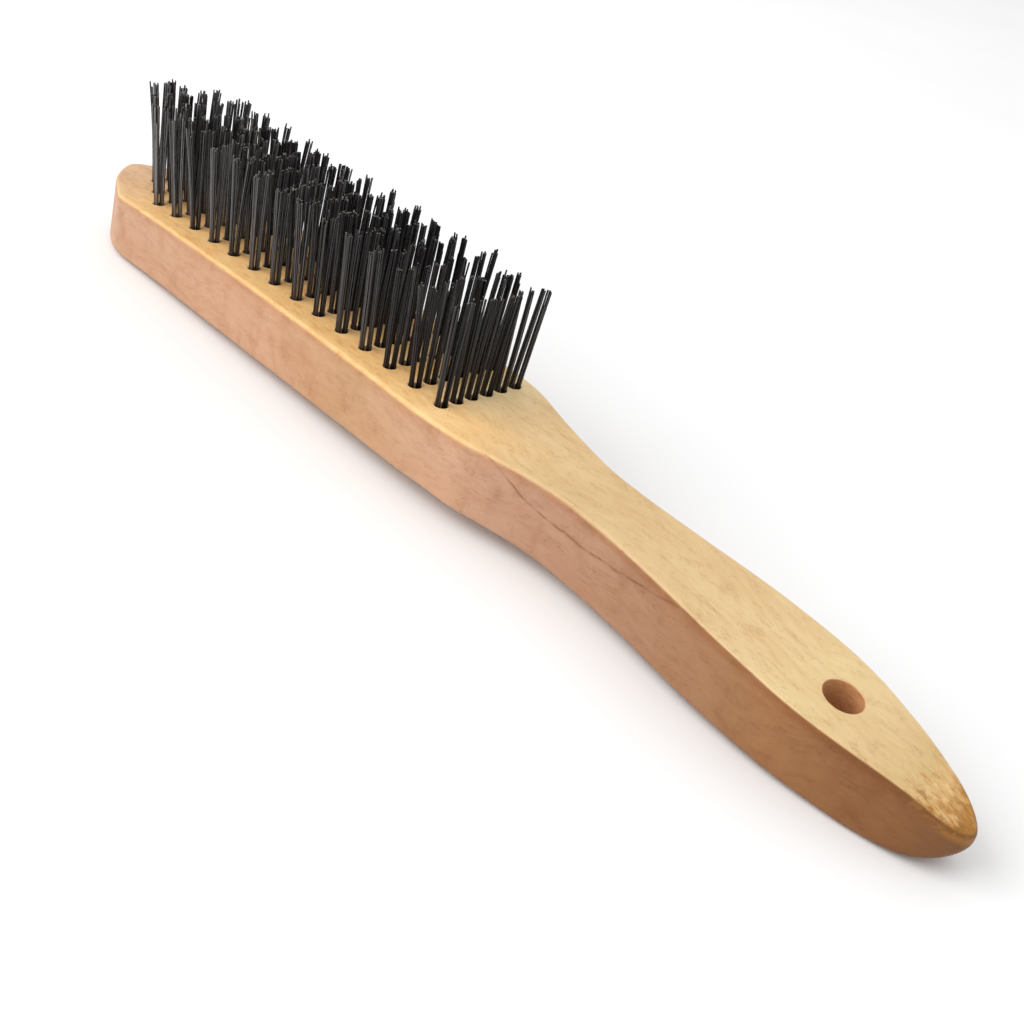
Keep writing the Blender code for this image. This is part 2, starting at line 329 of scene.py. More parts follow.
def tuft_cutter(x, y):
    """A drilled hole with a small lip and the drill's point at its bottom."""
    floor = face_height(x) - HOLE_DEPTH
    wide = HOLE_RADIUS + HOLE_LIP
    rings = [(DRILL_TIP_RADIUS, lambda _: floor - DRILL_POINT),
             (HOLE_RADIUS, lambda _: floor),
             (HOLE_RADIUS, lambda at: face_height(at) - HOLE_LIP),
             (wide, face_height),
             (wide, lambda at: face_height(at) + HOLE_CLEAR)]
    return turned(rings, x, y, HOLE_SIDES)


def hang_cutter():
    """The hang hole, its edges rounded over on both faces."""
    wide = HANG_RADIUS + HANG_LIP
    angles = [math.pi / 2 * i / HANG_LIP_STEPS for i in range(HANG_LIP_STEPS + 1)]
    rings = [(wide, lambda at: back_height(at) - HANG_CLEAR)]
    for a in angles:
        rings.append((HANG_RADIUS + HANG_LIP * (1 - math.sin(a)),
                      lambda at, a=a: back_height(at) + HANG_LIP * (1 - math.cos(a))))
    for a in reversed(angles):
        rings.append((HANG_RADIUS + HANG_LIP * (1 - math.sin(a)),
                      lambda at, a=a: face_height(at) - HANG_LIP * (1 - math.cos(a))))
    rings.append((wide, lambda at: face_height(at) + HANG_CLEAR))
    return turned(rings, HANG_X, HANG_Y, HANG_SIDES)


def joined(shapes):
    """One list of vertices and faces from several."""
    verts, faces = [], []
    for more_verts, more_faces in shapes:
        start = len(verts)
        verts += more_verts
        faces += [[n + start for n in face] for face in more_faces]
    return verts, faces


def linked(name, data):
    """A new object in the scene, at the origin."""
    made = bpy.data.objects.new(name, data)
    bpy.context.scene.collection.objects.link(made)
    return made


def mesh_object(name, verts, faces, materials):
    """An object at the origin from a shape in millimetres in the block's frame."""
    mesh = bpy.data.meshes.new(name)
    mesh.from_pydata([placed(vert) for vert in verts], [], faces)
    for material in materials:
        mesh.materials.append(material)
    return linked(name, mesh)


# The way the brush lies

def placement():
    """From the block's frame in millimetres to the row frame: turned to lie on nose and tip, in the
    CAD's box."""
    nose = NOSE_END + LYING_ARRIS
    low = back_height(nose)
    slope = min((back_height(x) - low) / (x - nose) for x, _ in outline() if x > BACK_BEND)
    turn = Matrix.Rotation(math.atan(slope), 4, "Y") @ Matrix.Scale(MM, 4)
    corners = [turn @ Vector(vert) for vert in block_mesh()[0]]
    box_low, box_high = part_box("handle")
    middle = (box_low + box_high) / 2
    own = [(min(c[k] for c in corners) + max(c[k] for c in corners)) / 2 for k in range(2)]
    lowest = min(c.z for c in corners)
    return Matrix.Translation((middle.x - own[0], middle.y - own[1], box_low.z - lowest)) @ turn


PLACE = placement()


def placed(point):
    return PLACE @ Vector(point)


# Materials

class Graph:
    """Short calls that add nodes to one material and return their output sockets."""

    def __init__(self, name):
        self.material = bpy.data.materials.new(name)
        self.material.use_nodes = True
        self.nodes = self.material.node_tree.nodes
        self.links = self.material.node_tree.links
        self.shader = self.nodes["Principled BSDF"]

    def feed(self, socket, value):
        if isinstance(value, bpy.types.NodeSocket):
            self.links.new(value, socket)
        elif value is not None:
            socket.default_value = value

    def add(self, kind, inputs=None, **settings):
        made = self.nodes.new(kind)
        for key, value in settings.items():
            setattr(made, key, value)
        for key, value in (inputs or {}).items():
            self.feed(made.inputs[key], value)
        return made

    def math(self, operation, a, b=None):
        return self.add("ShaderNodeMath", {0: a, 1: b}, operation=operation).outputs[0]

    def times(self, first, *others):
        for other in others:
            first = self.math("MULTIPLY", first, other)
        return first

    def plus(self, a, b):
        return self.math("ADD", a, b)

    def minus(self, a, b):
        return self.math("SUBTRACT", a, b)

    def about_zero(self, noise_value, spread):
        """Noise round 0.5 turned into values round zero."""
        return self.times(self.minus(noise_value, 0.5), spread)

    def pattern(self, place, stretch, detail, roughness):
        """Noise at a place, with its frequency along x, y and z."""
        at = self.add("ShaderNodeVectorMath", {0: place, 1: stretch}, operation="MULTIPLY").outputs[0]
        return self.add("ShaderNodeTexNoise", {"Vector": at, "Scale": 1.0, "Detail": detail,
                                               "Roughness": roughness}).outputs[0]

    def line_noise(self, value, frequency, detail):
        """Noise that changes along one value only."""
        return self.add("ShaderNodeTexNoise", {"W": self.times(value, frequency), "Scale": 1.0,
                                               "Detail": detail}, noise_dimensions="1D").outputs[0]

    def between(self, value, low, high, to_low=0.0, to_high=1.0):
        """Value smoothly taken from low..high to to_low..to_high and held there."""
        return self.add("ShaderNodeMapRange", {0: value, 1: low, 2: high, 3: to_low, 4: to_high},
                        interpolation_type="SMOOTHSTEP").outputs[0]

    def colours(self, value, stops):
        made = self.add("ShaderNodeValToRGB", {0: value})
        elements = made.color_ramp.elements
        while len(elements) < len(stops):
            elements.new(0.5)
        for element, (place, colour) in zip(elements, stops):
            element.position = place
            element.color = (*colour, 1.0)
        return made.outputs[0]

    def mix(self, factor, a, b, blend="MIX"):
        made = self.add("ShaderNodeMix", data_type="RGBA", blend_type=blend)
        for socket, value in zip((made.inputs[0], made.inputs[6], made.inputs[7]), (factor, a, b)):
            self.feed(socket, (*value, 1.0) if isinstance(value, tuple) else value)
        return made.outputs[2]

    def tinted(self, colour, factor, tint):
        """The colour multiplied by the tint, as far as the factor says."""
        return self.mix(factor, colour, tint, "MULTIPLY")

    def bump(self, height, distance):
        """Raise the surface by height, 0..1, times distance in millimetres."""
        return self.add("ShaderNodeBump", {"Height": height, "Distance": distance * MM,
                                           "Strength": 1.0}).outputs[0]

    def finished(self, colour, roughness, relief=None, metallic=0.0, specular=0.5):
        """The material, with these on its shader."""
        for name, value in (("Base Color", colour), ("Roughness", roughness), ("Normal", relief),
                            ("Metallic", metallic), ("Specular IOR Level", specular)):
            self.feed(self.shader.inputs[name], value)
        return self.material


class BrushGraph(Graph):
    """A material of the brush: here, x, y and z say where the shaded point is, in millimetres in the
    block's frame."""

    def __init__(self, name):
        super().__init__(name)
        row_place = self.add("ShaderNodeTexCoord").outputs["Object"]
        move, turn, scale = PLACE.decompose()
        self.here = self.add("ShaderNodeMapping", {"Vector": row_place, "Location": move,
                                                   "Rotation": turn.to_euler(), "Scale": scale},
                             vector_type="TEXTURE").outputs[0]
        self.x, self.y, self.z = self.apart(self.here)

    def apart(self, vector):
        return self.add("ShaderNodeSeparateXYZ", {0: vector}).outputs

    def stored(self, name):
        """A value that the mesh holds at each vertex."""
        return self.add("ShaderNodeAttribute", attribute_name=name).outputs["Fac"]

    def upward(self):
        """1 on the face, 0 on the sides."""
        normal = self.add("ShaderNodeNewGeometry").outputs["Normal"]
        return self.between(self.apart(normal)[2], 0.35, 0.90)


# Colours of the wood at places along the brush, x in millimetres, in linear light
# The face: its own tone, except the pale stop at x = 114 right behind the tufts, which is a painted
# pool of light over the tufts' shade
TOP_COLOURS_AND_LIGHT = ((-32.0, (0.64, 0.41, 0.25)), (10.0, (0.76, 0.48, 0.20)), (100.0, (0.82, 0.53, 0.22)),
               (114.0, (0.96, 0.75, 0.42)), (123.0, (0.76, 0.54, 0.28)), (150.0, (0.66, 0.47, 0.235)),
               (190.0, (0.73, 0.53, 0.28)), (207.0, (0.76, 0.58, 0.30)), (220.0, (0.72, 0.52, 0.27)),
               (229.0, (0.65, 0.47, 0.21)), (234.0, (0.66, 0.41, 0.16)), (TIP_END, (0.40, 0.17, 0.022)))
# The sides: their own pinker tone, with painted shade that darkens them more and more towards the tip
SIDE_COLOURS_AND_SHADE = ((-32.0, (0.53, 0.31, 0.195)), (60.0, (0.56, 0.315, 0.185)),
                (90.0, (0.51, 0.292, 0.150)), (122.0, (0.58, 0.34, 0.215)),
                (142.0, (0.47, 0.265, 0.17)), (175.0, (0.37, 0.195, 0.105)),
                (205.0, (0.31, 0.143, 0.050)), (229.0, (0.225, 0.090, 0.026)),
                (TIP_END, (0.17, 0.068, 0.017)))
# The near margin's colour: its own orange tone, lightened with painted light
NEAR_MARGIN_TONE_AND_LIGHT = (0.97, 0.61, 0.26)    # the face's near margin
SCORCH = ((0.34, (0.28, 0.115, 0.020)), (0.45, (0.56, 0.31, 0.10)), (0.62, (0.80, 0.53, 0.25)))
TIP_RIM, TIP_EDGE, TIP_MARK = (0.38, 0.158, 0.016), (0.17, 0.062, 0.010), (0.27, 0.115, 0.020)

# Patterns of the wood: frequency along x, y and z, detail, roughness, whether it follows the bent grain
WOOD_PATTERNS = {
    "mottle": ((0.045, 0.15, 0.15), 3.0, 0.55, False),
    "cloud": ((0.16, 0.42, 0.42), 3.0, 0.60, True),
    "wisps": ((0.10, 0.95, 0.95), 5.0, 0.62, True),
    "fibre": ((0.20, 3.60, 3.60), 3.0, 0.60, True),
    "specks": ((0.75, 2.40, 2.40), 2.0, 0.50, True),
    "dapple": ((0.30, 0.85, 0.85), 4.0, 0.65, False),
    "hairs": ((0.13, 0.30, 0.30), 4.0, 0.62, False),
    "smudge": ((0.17, 0.17, 0.07), 4.0, 0.60, False),
    "cracks": ((0.80, 1.20, 1.20), 5.0, 0.72, False),
    "torn": ((0.34, 0.62, 0.62), 5.0, 0.66, False),
}
BEND_STRETCH, BEND_DETAIL, BEND_REACH = (0.04, 0.06, 0.06), 1.5, (0.0, 13.0, 13.0)

# The one dark growth line: its place is a ring coordinate, which is the same all along one year's wood
RING_ACROSS, RING_UP = 0.894, 0.447
STREAK, STREAK_WIDTH = -11.85, 0.12
STREAK_COLOUR = (0.60, 0.44, 0.34)

# Dark marks at the tip, as x, y, how far below the face, and width
TIP_MARKS = ((230.5, -4.3, 0.0, 0.9), (230.8, -6.4, 1.1, 0.8), (234.9, -4.9, 0.6, 0.8),
             (237.3, -3.0, 0.2, 0.9), (238.8, -2.2, 0.9, 1.0))


class WoodGraph(BrushGraph):
    """The sanded wood, with its patterns by name and what it needs to know about the shaded point."""

    def __init__(self, name):
        super().__init__(name)
        self.face = self.upward()
        self.below = self.stored("below_face")
        bend_at = self.add("ShaderNodeVectorMath", {0: self.here, 1: BEND_STRETCH},
                           operation="MULTIPLY").outputs[0]
        bend = self.add("ShaderNodeTexNoise", {"Vector": bend_at, "Scale": 1.0, "Detail": BEND_DETAIL})
        reach = self.add("ShaderNodeVectorMath", {0: bend.outputs["Color"], 1: BEND_REACH},
                         operation="MULTIPLY").outputs[0]
        grain = self.add("ShaderNodeVectorMath", {0: reach, 1: self.here}, operation="ADD").outputs[0]
        self.patterns = {}
        for key, (stretch, detail, roughness, bent) in WOOD_PATTERNS.items():
            self.patterns[key] = self.pattern(grain if bent else self.here, stretch, detail, roughness)

    def part_of(self, key, low, high, to_low=0.0, to_high=1.0):
        """A pattern by name, taken between two values."""
        return self.between(self.patterns[key], low, high, to_low, to_high)


def wood_tones(wood, stops):
    """Colours that change along the brush, from (x, colour) stops."""
    span = TIP_END - NOSE_END
    along = wood.math("DIVIDE", wood.minus(wood.x, NOSE_END), span)
    return wood.colours(along, [((x - NOSE_END) / span, colour) for x, colour in stops])


def ground(wood):
    """The wood's colour before any grain: sides with painted shade towards the tip, the face with a
    painted pool of light behind the tufts, and the face's near margin, its orange tone brightened with
    painted light where the tufts shade it.
    """
    colour = wood.mix(wood.face, wood_tones(wood, SIDE_COLOURS_AND_SHADE), wood_tones(wood, TOP_COLOURS_AND_LIGHT))
    # Painted light: the near half of the face in the tuft field is lightened where the tufts shade it
    near = wood.times(wood.between(wood.y, 3.0, -9.0), wood.between(wood.x, 140.0, 116.0),
                      wood.between(wood.x, -22.0, 4.0), wood.face, 0.70)
    return wood.mix(near, colour, NEAR_MARGIN_TONE_AND_LIGHT)


def figured(wood, colour):
    """Mottle, clouds, wisps and fibre over the colour."""
    for key, low, high, most, tint in (("mottle", 0.35, 0.70, 0.40, (0.90, 0.80, 0.68)),
                                       ("cloud", 0.50, 0.72, 0.50, (0.84, 0.77, 0.72)),
                                       ("cloud", 0.46, 0.28, 0.45, (1.10, 1.14, 1.18)),
                                       ("wisps", 0.46, 0.70, 0.32, (0.84, 0.70, 0.54)),
                                       ("fibre", 0.40, 0.75, 0.16, (0.80, 0.68, 0.52))):
        colour = wood.tinted(colour, wood.part_of(key, low, high, 0.0, most), tint)
    return colour


def flecked(wood, colour, fleck):
    """Short dark flecks, thin hairs, smudges on the sides and a stained tuft field."""
    colour = wood.tinted(colour, wood.times(fleck, 0.30), (0.66, 0.50, 0.36))
    hair = wood.between(wood.math("ABSOLUTE", wood.minus(wood.patterns["hairs"], 0.5)), 0.014, 0.003)
    hair = wood.times(hair, wood.part_of("cloud", 0.44, 0.56), 0.42)
    colour = wood.tinted(colour, hair, (0.72, 0.54, 0.36))
    smudge = wood.times(wood.part_of("smudge", 0.50, 0.68), wood.between(wood.face, 0.5, 0.0), 0.42)
    colour = wood.tinted(colour, smudge, (0.80, 0.69, 0.60))
    field = wood.times(wood.between(wood.x, 118.0, 104.0), wood.face)
    stained = wood.times(field, wood.part_of("dapple", 0.48, 0.68, 0.0, 0.50))
    return wood.tinted(colour, stained, (0.86, 0.64, 0.42))


def growth_line(wood, colour):
    """The dark growth line, wandering and fading along its run, faint on the face."""
    across = wood.plus(wood.times(wood.y, RING_ACROSS), wood.times(wood.z, RING_UP))
    wander = wood.about_zero(wood.line_noise(wood.x, 0.11, 3.0), 0.6)
    off = wood.math("DIVIDE", wood.minus(wood.plus(across, wander), STREAK), STREAK_WIDTH)
    streak = wood.math("EXPONENT", wood.times(off, off, -1.0))
    fading = wood.between(wood.line_noise(wood.x, 0.25, 2.0), 0.30, 0.60, 0.35, 0.85)
    on_face = wood.between(wood.face, 1.0, 0.2, 0.22, 1.0)
    run = wood.times(wood.between(wood.x, 120.0, 132.0), wood.between(wood.x, 190.0, 172.0))
    return wood.tinted(colour, wood.times(streak, fading, on_face, run), STREAK_COLOUR)


def burnished(wood, colour):
    """A burnished band under the face's edge, strongest along the grip."""
    band = wood.times(wood.between(wood.below, 0.20, 0.60), wood.between(wood.below, 2.6, 1.0))
    band = wood.times(band, wood.between(wood.x, 120.0, 180.0, 0.45, 0.95))
    band = wood.times(band, wood.part_of("dapple", 0.25, 0.60, 0.45, 1.0))
    return wood.tinted(colour, band, (0.86, 0.70, 0.48))


def torn_tip(wood, colour):
    """Torn, scorched grain towards the tip, with an orange rim, a dark edge and a few dark marks.
    Returns the colour and where the tip's face is torn."""
    torn = wood.patterns["torn"]
    reach = wood.plus(wood.x, wood.about_zero(wood.patterns["dapple"], 22.0))
    tip = wood.times(wood.between(reach, 226.5, 231.5), wood.between(wood.face, 0.1, 0.7))
    colour = wood.mix(wood.times(tip, 0.75), colour, wood.colours(torn, SCORCH))
    rim = wood.times(wood.between(reach, 232.0, 239.0), wood.between(wood.below, 3.2, 0.8), 0.92)
    colour = wood.mix(rim, colour, TIP_RIM)
    ragged_edge = wood.plus(wood.below, wood.about_zero(torn, 3.0))
    edge = wood.times(wood.between(wood.below, 0.20, 0.60), wood.between(ragged_edge, 1.7, 0.7),
                      wood.between(wood.x, 214.0, 229.0, 0.0, 0.85))
    colour = wood.mix(edge, colour, TIP_EDGE)
    for x, y, drop, width in TIP_MARKS:
        away = wood.add("ShaderNodeVectorMath", {0: wood.here, 1: (x, y, face_height(x) - drop)},
                        operation="DISTANCE").outputs["Value"]
        ragged = wood.plus(away, wood.about_zero(wood.patterns["cracks"], 7.0 * width))
        colour = wood.mix(wood.between(ragged, 1.5 * width, 0.2 * width, 0.0, 0.62), colour, TIP_MARK)
    return colour, tip


def beech():
    """Sanded beech: mottled, with wispy fibre, short dark flecks, one dark growth line, a burnished
    band below the face's edge and torn, scorched grain at the tip."""
    wood = WoodGraph("beech")
    fleck = wood.times(wood.part_of("specks", 0.62, 0.72), wood.part_of("dapple", 0.40, 0.60))
    colour = flecked(wood, figured(wood, ground(wood)), fleck)
    colour = burnished(wood, growth_line(wood, colour))
    colour, tip = torn_tip(wood, colour)
    rough = wood.plus(wood.part_of("fibre", 0.2, 0.8, 0.44, 0.60), wood.times(tip, 0.12))
    fibre = wood.times(wood.patterns["fibre"], 0.45)
    height = wood.plus(fibre, wood.times(wood.patterns["wisps"], 0.8))
    height = wood.minus(height, wood.times(fleck, 0.5))
    height = wood.plus(height, wood.times(tip, wood.patterns["torn"], 2.5))
    return wood.finished(colour, rough, wood.bump(height, 0.07), specular=0.35)


def bored_wood():
    """The drilled walls: torn fibre, paler on the broken lip at the face, where the pale torn fibre
    also stands as a painted highlight along the lip, and darker and browner in the hang hole, as
    painted shade.
    """
    wood = BrushGraph("bored_beech")
    turns = wood.pattern(wood.here, (0.5, 0.5, 4.0), 4.0, 0.6)
    fibre = wood.pattern(wood.here, (0.3, 3.0, 3.0), 4.0, 0.6)
    colour = wood.colours(wood.plus(wood.times(turns, 0.5), wood.times(fibre, 0.5)),
                          ((0.30, (0.48, 0.25, 0.13)), (0.55, (0.64, 0.37, 0.21)),
                           (0.75, (0.74, 0.47, 0.28))))
    # The tuft holes' lip: pale torn fibre and a painted highlight along the lip
    lip = wood.times(wood.between(wood.stored("below_face"), 0.5, 0.1),
                     wood.between(wood.x, 130.0, 118.0))
    colour = wood.mix(lip, colour, (0.86, 0.70, 0.50))
    # Painted shade: the walls of the hang hole, beyond x = 180, are darker and browner
    colour = wood.tinted(colour, wood.between(wood.x, 180.0, 190.0), (0.97, 0.84, 0.66))
    return wood.finished(colour, wood.between(turns, 0.2, 0.8, 0.62, 0.82), wood.bump(turns, 0.15),
                         specular=0.3)


def wire_steel():
    """Tempered steel wire, nearly black: drawing marks, brown oxide in patches, and painted shade that
    makes it blacker towards the heel.
    """
    steel = BrushGraph("tempered_wire")
    marks = steel.pattern(steel.here, (6.0, 6.0, 0.25), 3.0, 0.6)
    patches = steel.pattern(steel.here, (0.8, 0.8, 0.22), 3.0, 0.55)
    colour = steel.colours(steel.stored("wire_tone"),
                           ((0.0, (0.036, 0.034, 0.034)), (0.45, (0.085, 0.080, 0.080)),
                            (0.8, (0.155, 0.148, 0.147)), (1.0, (0.27, 0.260, 0.255))))
    colour = steel.mix(steel.between(patches, 0.52, 0.72, 0.0, 0.5), colour, (0.100, 0.072, 0.060))
    colour = steel.mix(steel.between(marks, 0.45, 0.75, 0.0, 0.5), colour, (0.16, 0.154, 0.152))
    # Painted shade: the wires turn near-black from x = 30 to 105, towards the heel
    colour = steel.mix(steel.between(steel.x, 30.0, 105.0, 0.0, 0.66), colour, (0.014, 0.013, 0.014))
    return steel.finished(colour, steel.between(patches, 0.25, 0.75, 0.24, 0.42),
                          steel.bump(marks, 0.02), metallic=0.8, specular=0.35)


def plain_steel(name, stretch, tones, roughness, relief, metallic):
    """Bare steel with a fine grain, between two tones and two values of roughness."""
    steel = BrushGraph(name)
    grain = steel.pattern(steel.here, stretch, 3.0, 0.6)
    colour = steel.colours(grain, ((0.3, tones[0]), (0.7, tones[1])))
    return steel.finished(colour, steel.between(grain, 0.3, 0.7, *roughness),
                          steel.bump(grain, relief), metallic=metallic)


def cut_steel():
    """Sheared wire ends, brighter than the drawn skin."""
    return plain_steel("sheared_end", (9.0, 3.0, 9.0), ((0.06, 0.058, 0.056), (0.24, 0.235, 0.225)),
                       (0.30, 0.55), 0.03, 0.9)


def strip_steel():
    """The flat strip that holds each tuft down."""
    return plain_steel("anchor_strip", (0.6, 5.0, 5.0), ((0.30, 0.29, 0.28), (0.48, 0.47, 0.45)),
                       (0.35, 0.5), 0.02, 0.95)


# Handle block

def tuft_places():
    """Every tuft by rank and row: {(rank, row): (x, y)}. Ranks 1 and 2 are the nose."""
    ranks = [(along, across) for along, across in reversed(NOSE_RANKS)]
    ranks += [(rank, ROWS) for rank in range(RANKS)]
    places = {}
    for number, (along, across) in enumerate(ranks, 1):
        first = (ROWS - across) // 2
        for row in range(first, first + across):
            side = FIELD_SIDE + (row - (ROWS - 1) / 2) * ROW_PITCH
            places[number, row + 1] = (along * RANK_PITCH, side)
    return places


def drilled(block, cutters):
    """The block's mesh with the cutters taken out of it."""
    for cutter in cutters:
        cut = block.modifiers.new(cutter.name, "BOOLEAN")
        cut.operation = "DIFFERENCE"
        cut.solver = "EXACT"
        cut.object = cutter
        cut.material_mode = "TRANSFER"
    bpy.context.view_layer.update()
    evaluated = block.evaluated_get(bpy.context.evaluated_depsgraph_get())
    mesh = bpy.data.meshes.new_from_object(evaluated)
    block.modifiers.clear()
    for cutter in cutters:
        bpy.data.objects.remove(cutter)
    return mesh


def store_depths(mesh):
    """Tell the wood's material how far each vertex is below the face."""
    block_from_row = PLACE.inverted()
    depths = []
    for vertex in mesh.vertices:
        at = block_from_row @ vertex.co
        depths.append(face_height(at.x) - at.z)
    mesh.attributes.new("below_face", "FLOAT", "POINT").data.foreach_set("value", depths)


def build_block(places):
    wood = beech()
    bored = bored_wood()
    block = mesh_object("wood_block", *block_mesh(), (wood, bored))
    tuft_drill = joined(tuft_cutter(x, y) for x, y in places.values())
    block.data = drilled(block, [mesh_object("tuft_drill", *tuft_drill, (bored,)),
                                 mesh_object("hang_drill", *hang_cutter(), (bored,))])
    store_depths(block.data)
    block.data.shade_smooth()
    block.data.set_sharp_from_angle(angle=math.radians(BLOCK_SHARP))
    block.modifiers.new("even_normals", "WEIGHTED_NORMAL").keep_sharp = True
    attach(block, "root")
    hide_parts("handle")


# Wires

def wire_seats(x, rng):
    """Places of the wires in one leg round its middle: one in the centre, six about it, and the others
    at the two ends, along the strip."""
    pitch = WIRE_PACKING * WIRE_RADIUS
    turn = rng.uniform(0, math.pi)
    seats = [(0.0, 0.0)]
    for k in range(6):
        a = turn + math.pi * k / 3
        seats.append((pitch * math.cos(a), pitch * math.sin(a)))
    for along, across in END_SEATS:
        seats += [(along * pitch, across), (-along * pitch, -across)]
    return seats[:rng.choice(SPARSE_COUNTS if x > DENSE_END else DENSE_COUNTS)]


def tube(points, tilts):
    """A wire along the points, its ends sheared by the two tilts."""
    verts = []
    last = len(points) - 1
    for i, point in enumerate(points):
        along = (points[min(i + 1, last)] - points[max(i - 1, 0)]).normalized()
        first = (Vector((1, 0, 0)) - along * along.x).normalized()
        second = along.cross(first)
        tilt = tilts[0] if i == 0 else tilts[1] if i == last else (0.0, 0.0)
        for k in range(WIRE_SIDES):
            a = 2 * math.pi * (k + 0.5) / WIRE_SIDES
            u, v = WIRE_RADIUS * math.cos(a), WIRE_RADIUS * math.sin(a)
            verts.append(point + first * u + second * v + along * (u * tilt[0] + v * tilt[1]))
    return verts, walls(last + 1, WIRE_SIDES) + end_caps(last + 1, WIRE_SIDES)


def strip_axes(x, y):
    """Along and across the strip of the tuft at x, y."""
    luck = noise.noise(Vector((x / STRIP_TURN_WAVE, y / STRIP_TURN_WAVE, 0.4)))
    turn = math.radians(STRIP_TURN + STRIP_TURN_LUCK * luck)
    along = Vector((math.cos(turn), -math.sin(turn), 0.0))
    across = Vector((math.sin(turn), math.cos(turn), 0.0))
    return along, across


def leg_length(x, longer, rng):
    """Length of one wire above the face: trimmed level, a few broken off short, a few left long."""
    length = TRIM_HEIGHT - TRIM_FALL * x - face_height(x) + longer + rng.gauss(0, WIRE_LENGTH_SPREAD)
    luck = rng.random()
    if luck < SHORT_SHARE:
        length -= rng.uniform(*SHORTER_BY)
    elif luck > 1 - LONG_SHARE:
        length += rng.uniform(*LONGER_BY)
    return length


def leg(x, y, row, seat, side, bunch, rng):
    """One wire from the mouth of its hole to its tip."""
    along, across = strip_axes(x, y)
    place = along * seat[0] + across * (side * along_stations(LEG_APART, x) + seat[1])
    middle = FIELD_LENGTH / 2
    lean = Vector((LEAN_ALONG * max(-1.0, (x - middle) / middle) ** 3,
                   LEAN_ACROSS * (row - 1) / (ROWS - 1), 1.0))
    length = leg_length(x, bunch.longer, rng)
    stray = WIRE_SPREAD_LUCK * (STRAY_TIMES if rng.random() < STRAY_SHARE else 1.0)
    fan = (along * seat[0] + across * seat[1]) * along_stations(WIRE_FAN, x)
    splay = (across * (side * bunch.spread) + bunch.stray + fan
             + Vector((rng.gauss(0, stray), rng.gauss(0, stray), 0.0)))
    bow = Vector((rng.gauss(0, BOW), rng.gauss(0, BOW), 0.0))
    root = Vector((x, y, face_height(x))) + place
    return [root + lean * length * t + splay * t ** SPLAY_POWER + bow * math.sin(math.pi * t)
            for t in steps(LEG_STEPS, last=True)]


def folded_wire(x, y, row, seat, bunches, rng):
    """One wire from tip to tip, folded under the strip at the bottom of the hole."""
    mirrored = (seat[0], -seat[1])
    near = leg(x, y, row, mirrored, -1, bunches[0], rng)
    far = leg(x, y, row, seat, 1, bunches[1], rng)
    along, across = strip_axes(x, y)
    away = along_stations(LEG_APART, x) + seat[1]
    middle = Vector((x, y, face_height(x) - HOLE_DEPTH + FOLD_RISE)) + along * seat[0]
    fold = []
    for i in range(FOLD_STEPS + 1):
        a = math.pi * i / FOLD_STEPS
        fold.append(middle - across * (away * math.cos(a)) - Vector((0, 0, away * math.sin(a))))
    tilts = [(rng.uniform(-SHEAR, SHEAR), rng.uniform(-SHEAR, SHEAR)) for _ in range(2)]
    return tube(near[::-1] + fold + far, tilts)


def anchor_strip(x, y):
    """A flat strip across the hole, its edges eased, its ends pressed into the wood."""
    along, across = strip_axes(x, y)
    low = Vector((x, y, face_height(x) - HOLE_DEPTH + FOLD_RISE))
    thick, high, eased = STRIP_THICK / 2, STRIP_HEIGHT, STRIP_EASE
    profile = [(-thick, eased), (-thick + eased, 0), (thick - eased, 0), (thick, eased),
               (thick, high - eased), (thick - eased, high), (-thick + eased, high),
               (-thick, high - eased)]
    verts = []
    for end in (-1, 1):
        for off, up in profile:
            verts.append(low + along * (end * STRIP_LENGTH / 2) + across * off + Vector((0, 0, up)))
    return verts, walls(2, len(profile)) + end_caps(2, len(profile))


def tuft_bunches(x, rng):
    """What the wires of the tuft's two legs have in common."""
    stray = Vector((rng.gauss(0, TUFT_LEAN_LUCK), rng.gauss(0, TUFT_LEAN_LUCK), 0.0))
    spread = along_stations(LEG_SPREAD, x)
    return [Bunch(spread + rng.gauss(0, LEG_SPREAD_LUCK),
                  rng.uniform(-LEG_LENGTH_SPREAD, LEG_LENGTH_SPREAD), stray) for _ in range(2)]


def build_tufts(name, members, places, rng, materials):
    """The wires and strips of the tufts that one CAD node holds."""
    drawn, cut, strip = range(3)      # the material of each face
    shapes, tones, slots = [], [], []
    for rank, row in members:
        x, y = places[rank, row]
        bunches = tuft_bunches(x, rng)
        for seat in wire_seats(x, rng):
            wire = folded_wire(x, y, row, seat, bunches, rng)
            shapes.append(wire)
            tones += [rng.random()] * len(wire[0])
            slots += [drawn] * (len(wire[1]) - 2) + [cut, cut]
        shapes.append(anchor_strip(x, y))
        tones += [0.5] * len(shapes[-1][0])
        slots += [strip] * len(shapes[-1][1])
    tufts = mesh_object(name, *joined(shapes), materials)
    tufts.data.attributes.new("wire_tone", "FLOAT", "POINT").data.foreach_set("value", tones)
    tufts.data.polygons.foreach_set("material_index", slots)
    tufts.data.shade_smooth()
    tufts.data.set_sharp_from_angle(angle=math.radians(WIRE_SHARP))
    return tufts


def build_wires(places):
    """One piece of wires in place of each tuft node, whose name says which tufts it holds."""
    materials = (wire_steel(), cut_steel(), strip_steel())
    nodes = sorted(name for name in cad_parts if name.startswith("tufts_"))
    for seed, node in enumerate(nodes, FIRST_SEED):
        row, ranks = node.removeprefix("tufts_row").split("_rank")
        members = [(int(rank), int(row)) for rank in ranks.split("_")]
        name = node.replace("tufts", "wires")
        tufts = build_tufts(name, members, places, random.Random(seed), materials)
        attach(tufts, "root")
        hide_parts(node)


# Studio

def floor_paint():
    """Matt pale paint, a little uneven."""
    paint = Graph("pale_floor")
    here = paint.add("ShaderNodeTexCoord").outputs["Object"]
    soft = paint.add("ShaderNodeTexNoise", {"Vector": here, "Scale": 6.0, "Detail": 3.0}).outputs[0]
    colour = paint.colours(soft, ((0.3, (0.90, 0.90, 0.90)), (0.7, (0.93, 0.93, 0.93))))
    return paint.finished(colour, 0.85, specular=0.1)


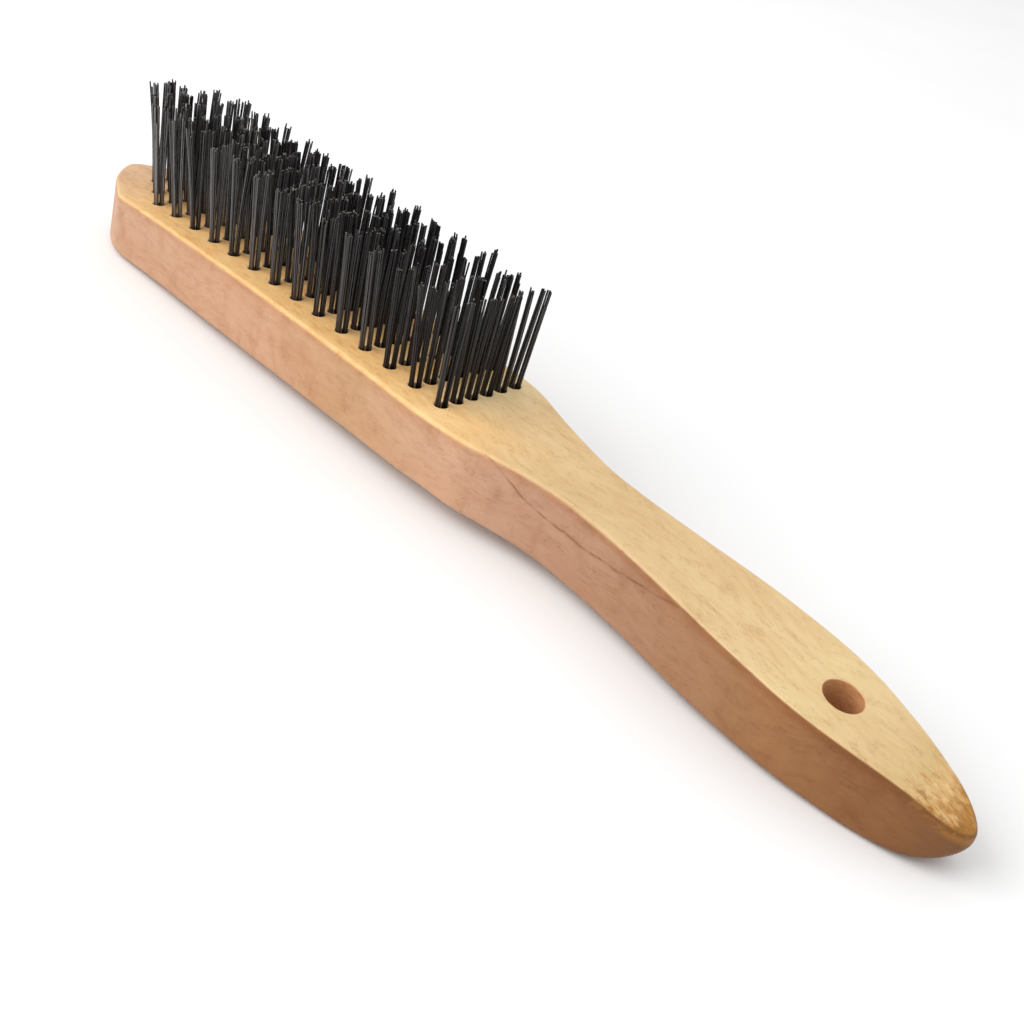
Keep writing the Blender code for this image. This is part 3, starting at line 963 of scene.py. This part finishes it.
def floor():
    """A pale round floor, which ends where it is still as bright as the surroundings."""
    angles = [2 * math.pi * k / FLOOR_SIDES for k in range(FLOOR_SIDES)]
    rim = [(FLOOR_RADIUS * math.cos(a), FLOOR_RADIUS * math.sin(a), 0) for a in angles]
    mesh = bpy.data.meshes.new("floor")
    mesh.from_pydata(rim, [], [tuple(range(FLOOR_SIDES))])
    mesh.materials.append(floor_paint())
    made = linked("floor", mesh)
    made.location.z = cad_box[0].z - FLOOR_GAP


def surroundings():
    """White all round, bright at the horizon and dim overhead."""
    world = bpy.data.worlds.new("studio")
    world.use_nodes = True
    nodes, links = world.node_tree.nodes, world.node_tree.links
    around = nodes.new("ShaderNodeTexCoord")
    direction = nodes.new("ShaderNodeSeparateXYZ")
    fade = nodes.new("ShaderNodeMapRange")
    fade.interpolation_type = "SMOOTHSTEP"
    for socket, value in enumerate((FADE_LOW, FADE_HIGH, HORIZON, OVERHEAD), 1):
        fade.inputs[socket].default_value = value
    links.new(around.outputs["Generated"], direction.inputs[0])
    links.new(direction.outputs[2], fade.inputs[0])
    links.new(fade.outputs[0], nodes["Background"].inputs["Strength"])
    nodes["Background"].inputs["Color"].default_value = (1.0, 1.0, 1.0, 1.0)
    bpy.context.scene.world = world


def softbox(name, place, aim, size, power):
    lamp = bpy.data.lights.new(name, "AREA")
    lamp.shape = "RECTANGLE"
    lamp.size = size[0]
    lamp.size_y = size[1]
    lamp.energy = power
    made = linked(name, lamp)
    made.location = place
    made.rotation_euler = (Vector(aim) - Vector(place)).to_track_quat("-Z", "Y").to_euler()


def camera():
    turn = (Matrix.Rotation(math.radians(AZIMUTH), 4, "Z")
            @ Matrix.Rotation(math.radians(90 - ELEVATION), 4, "X")
            @ Matrix.Rotation(math.radians(ROLL), 4, "Z"))
    lens = bpy.data.cameras.new("camera")
    lens.lens = LENS
    lens.sensor_width = SENSOR
    lens.clip_start = NEAR_CLIP
    lens.clip_end = FAR_CLIP
    made = linked("camera", lens)
    lying = PLACE.to_quaternion().to_matrix().to_4x4()
    made.matrix_world = Matrix.Translation(placed(CAMERA_PLACE)) @ lying @ turn
    bpy.context.scene.camera = made


def main():
    places = tuft_places()
    build_block(places)
    build_wires(places)
    floor()
    surroundings()
    for box in SOFTBOXES:
        softbox(*box)
    camera()
    bpy.context.scene.view_settings.view_transform = "Standard"


main()
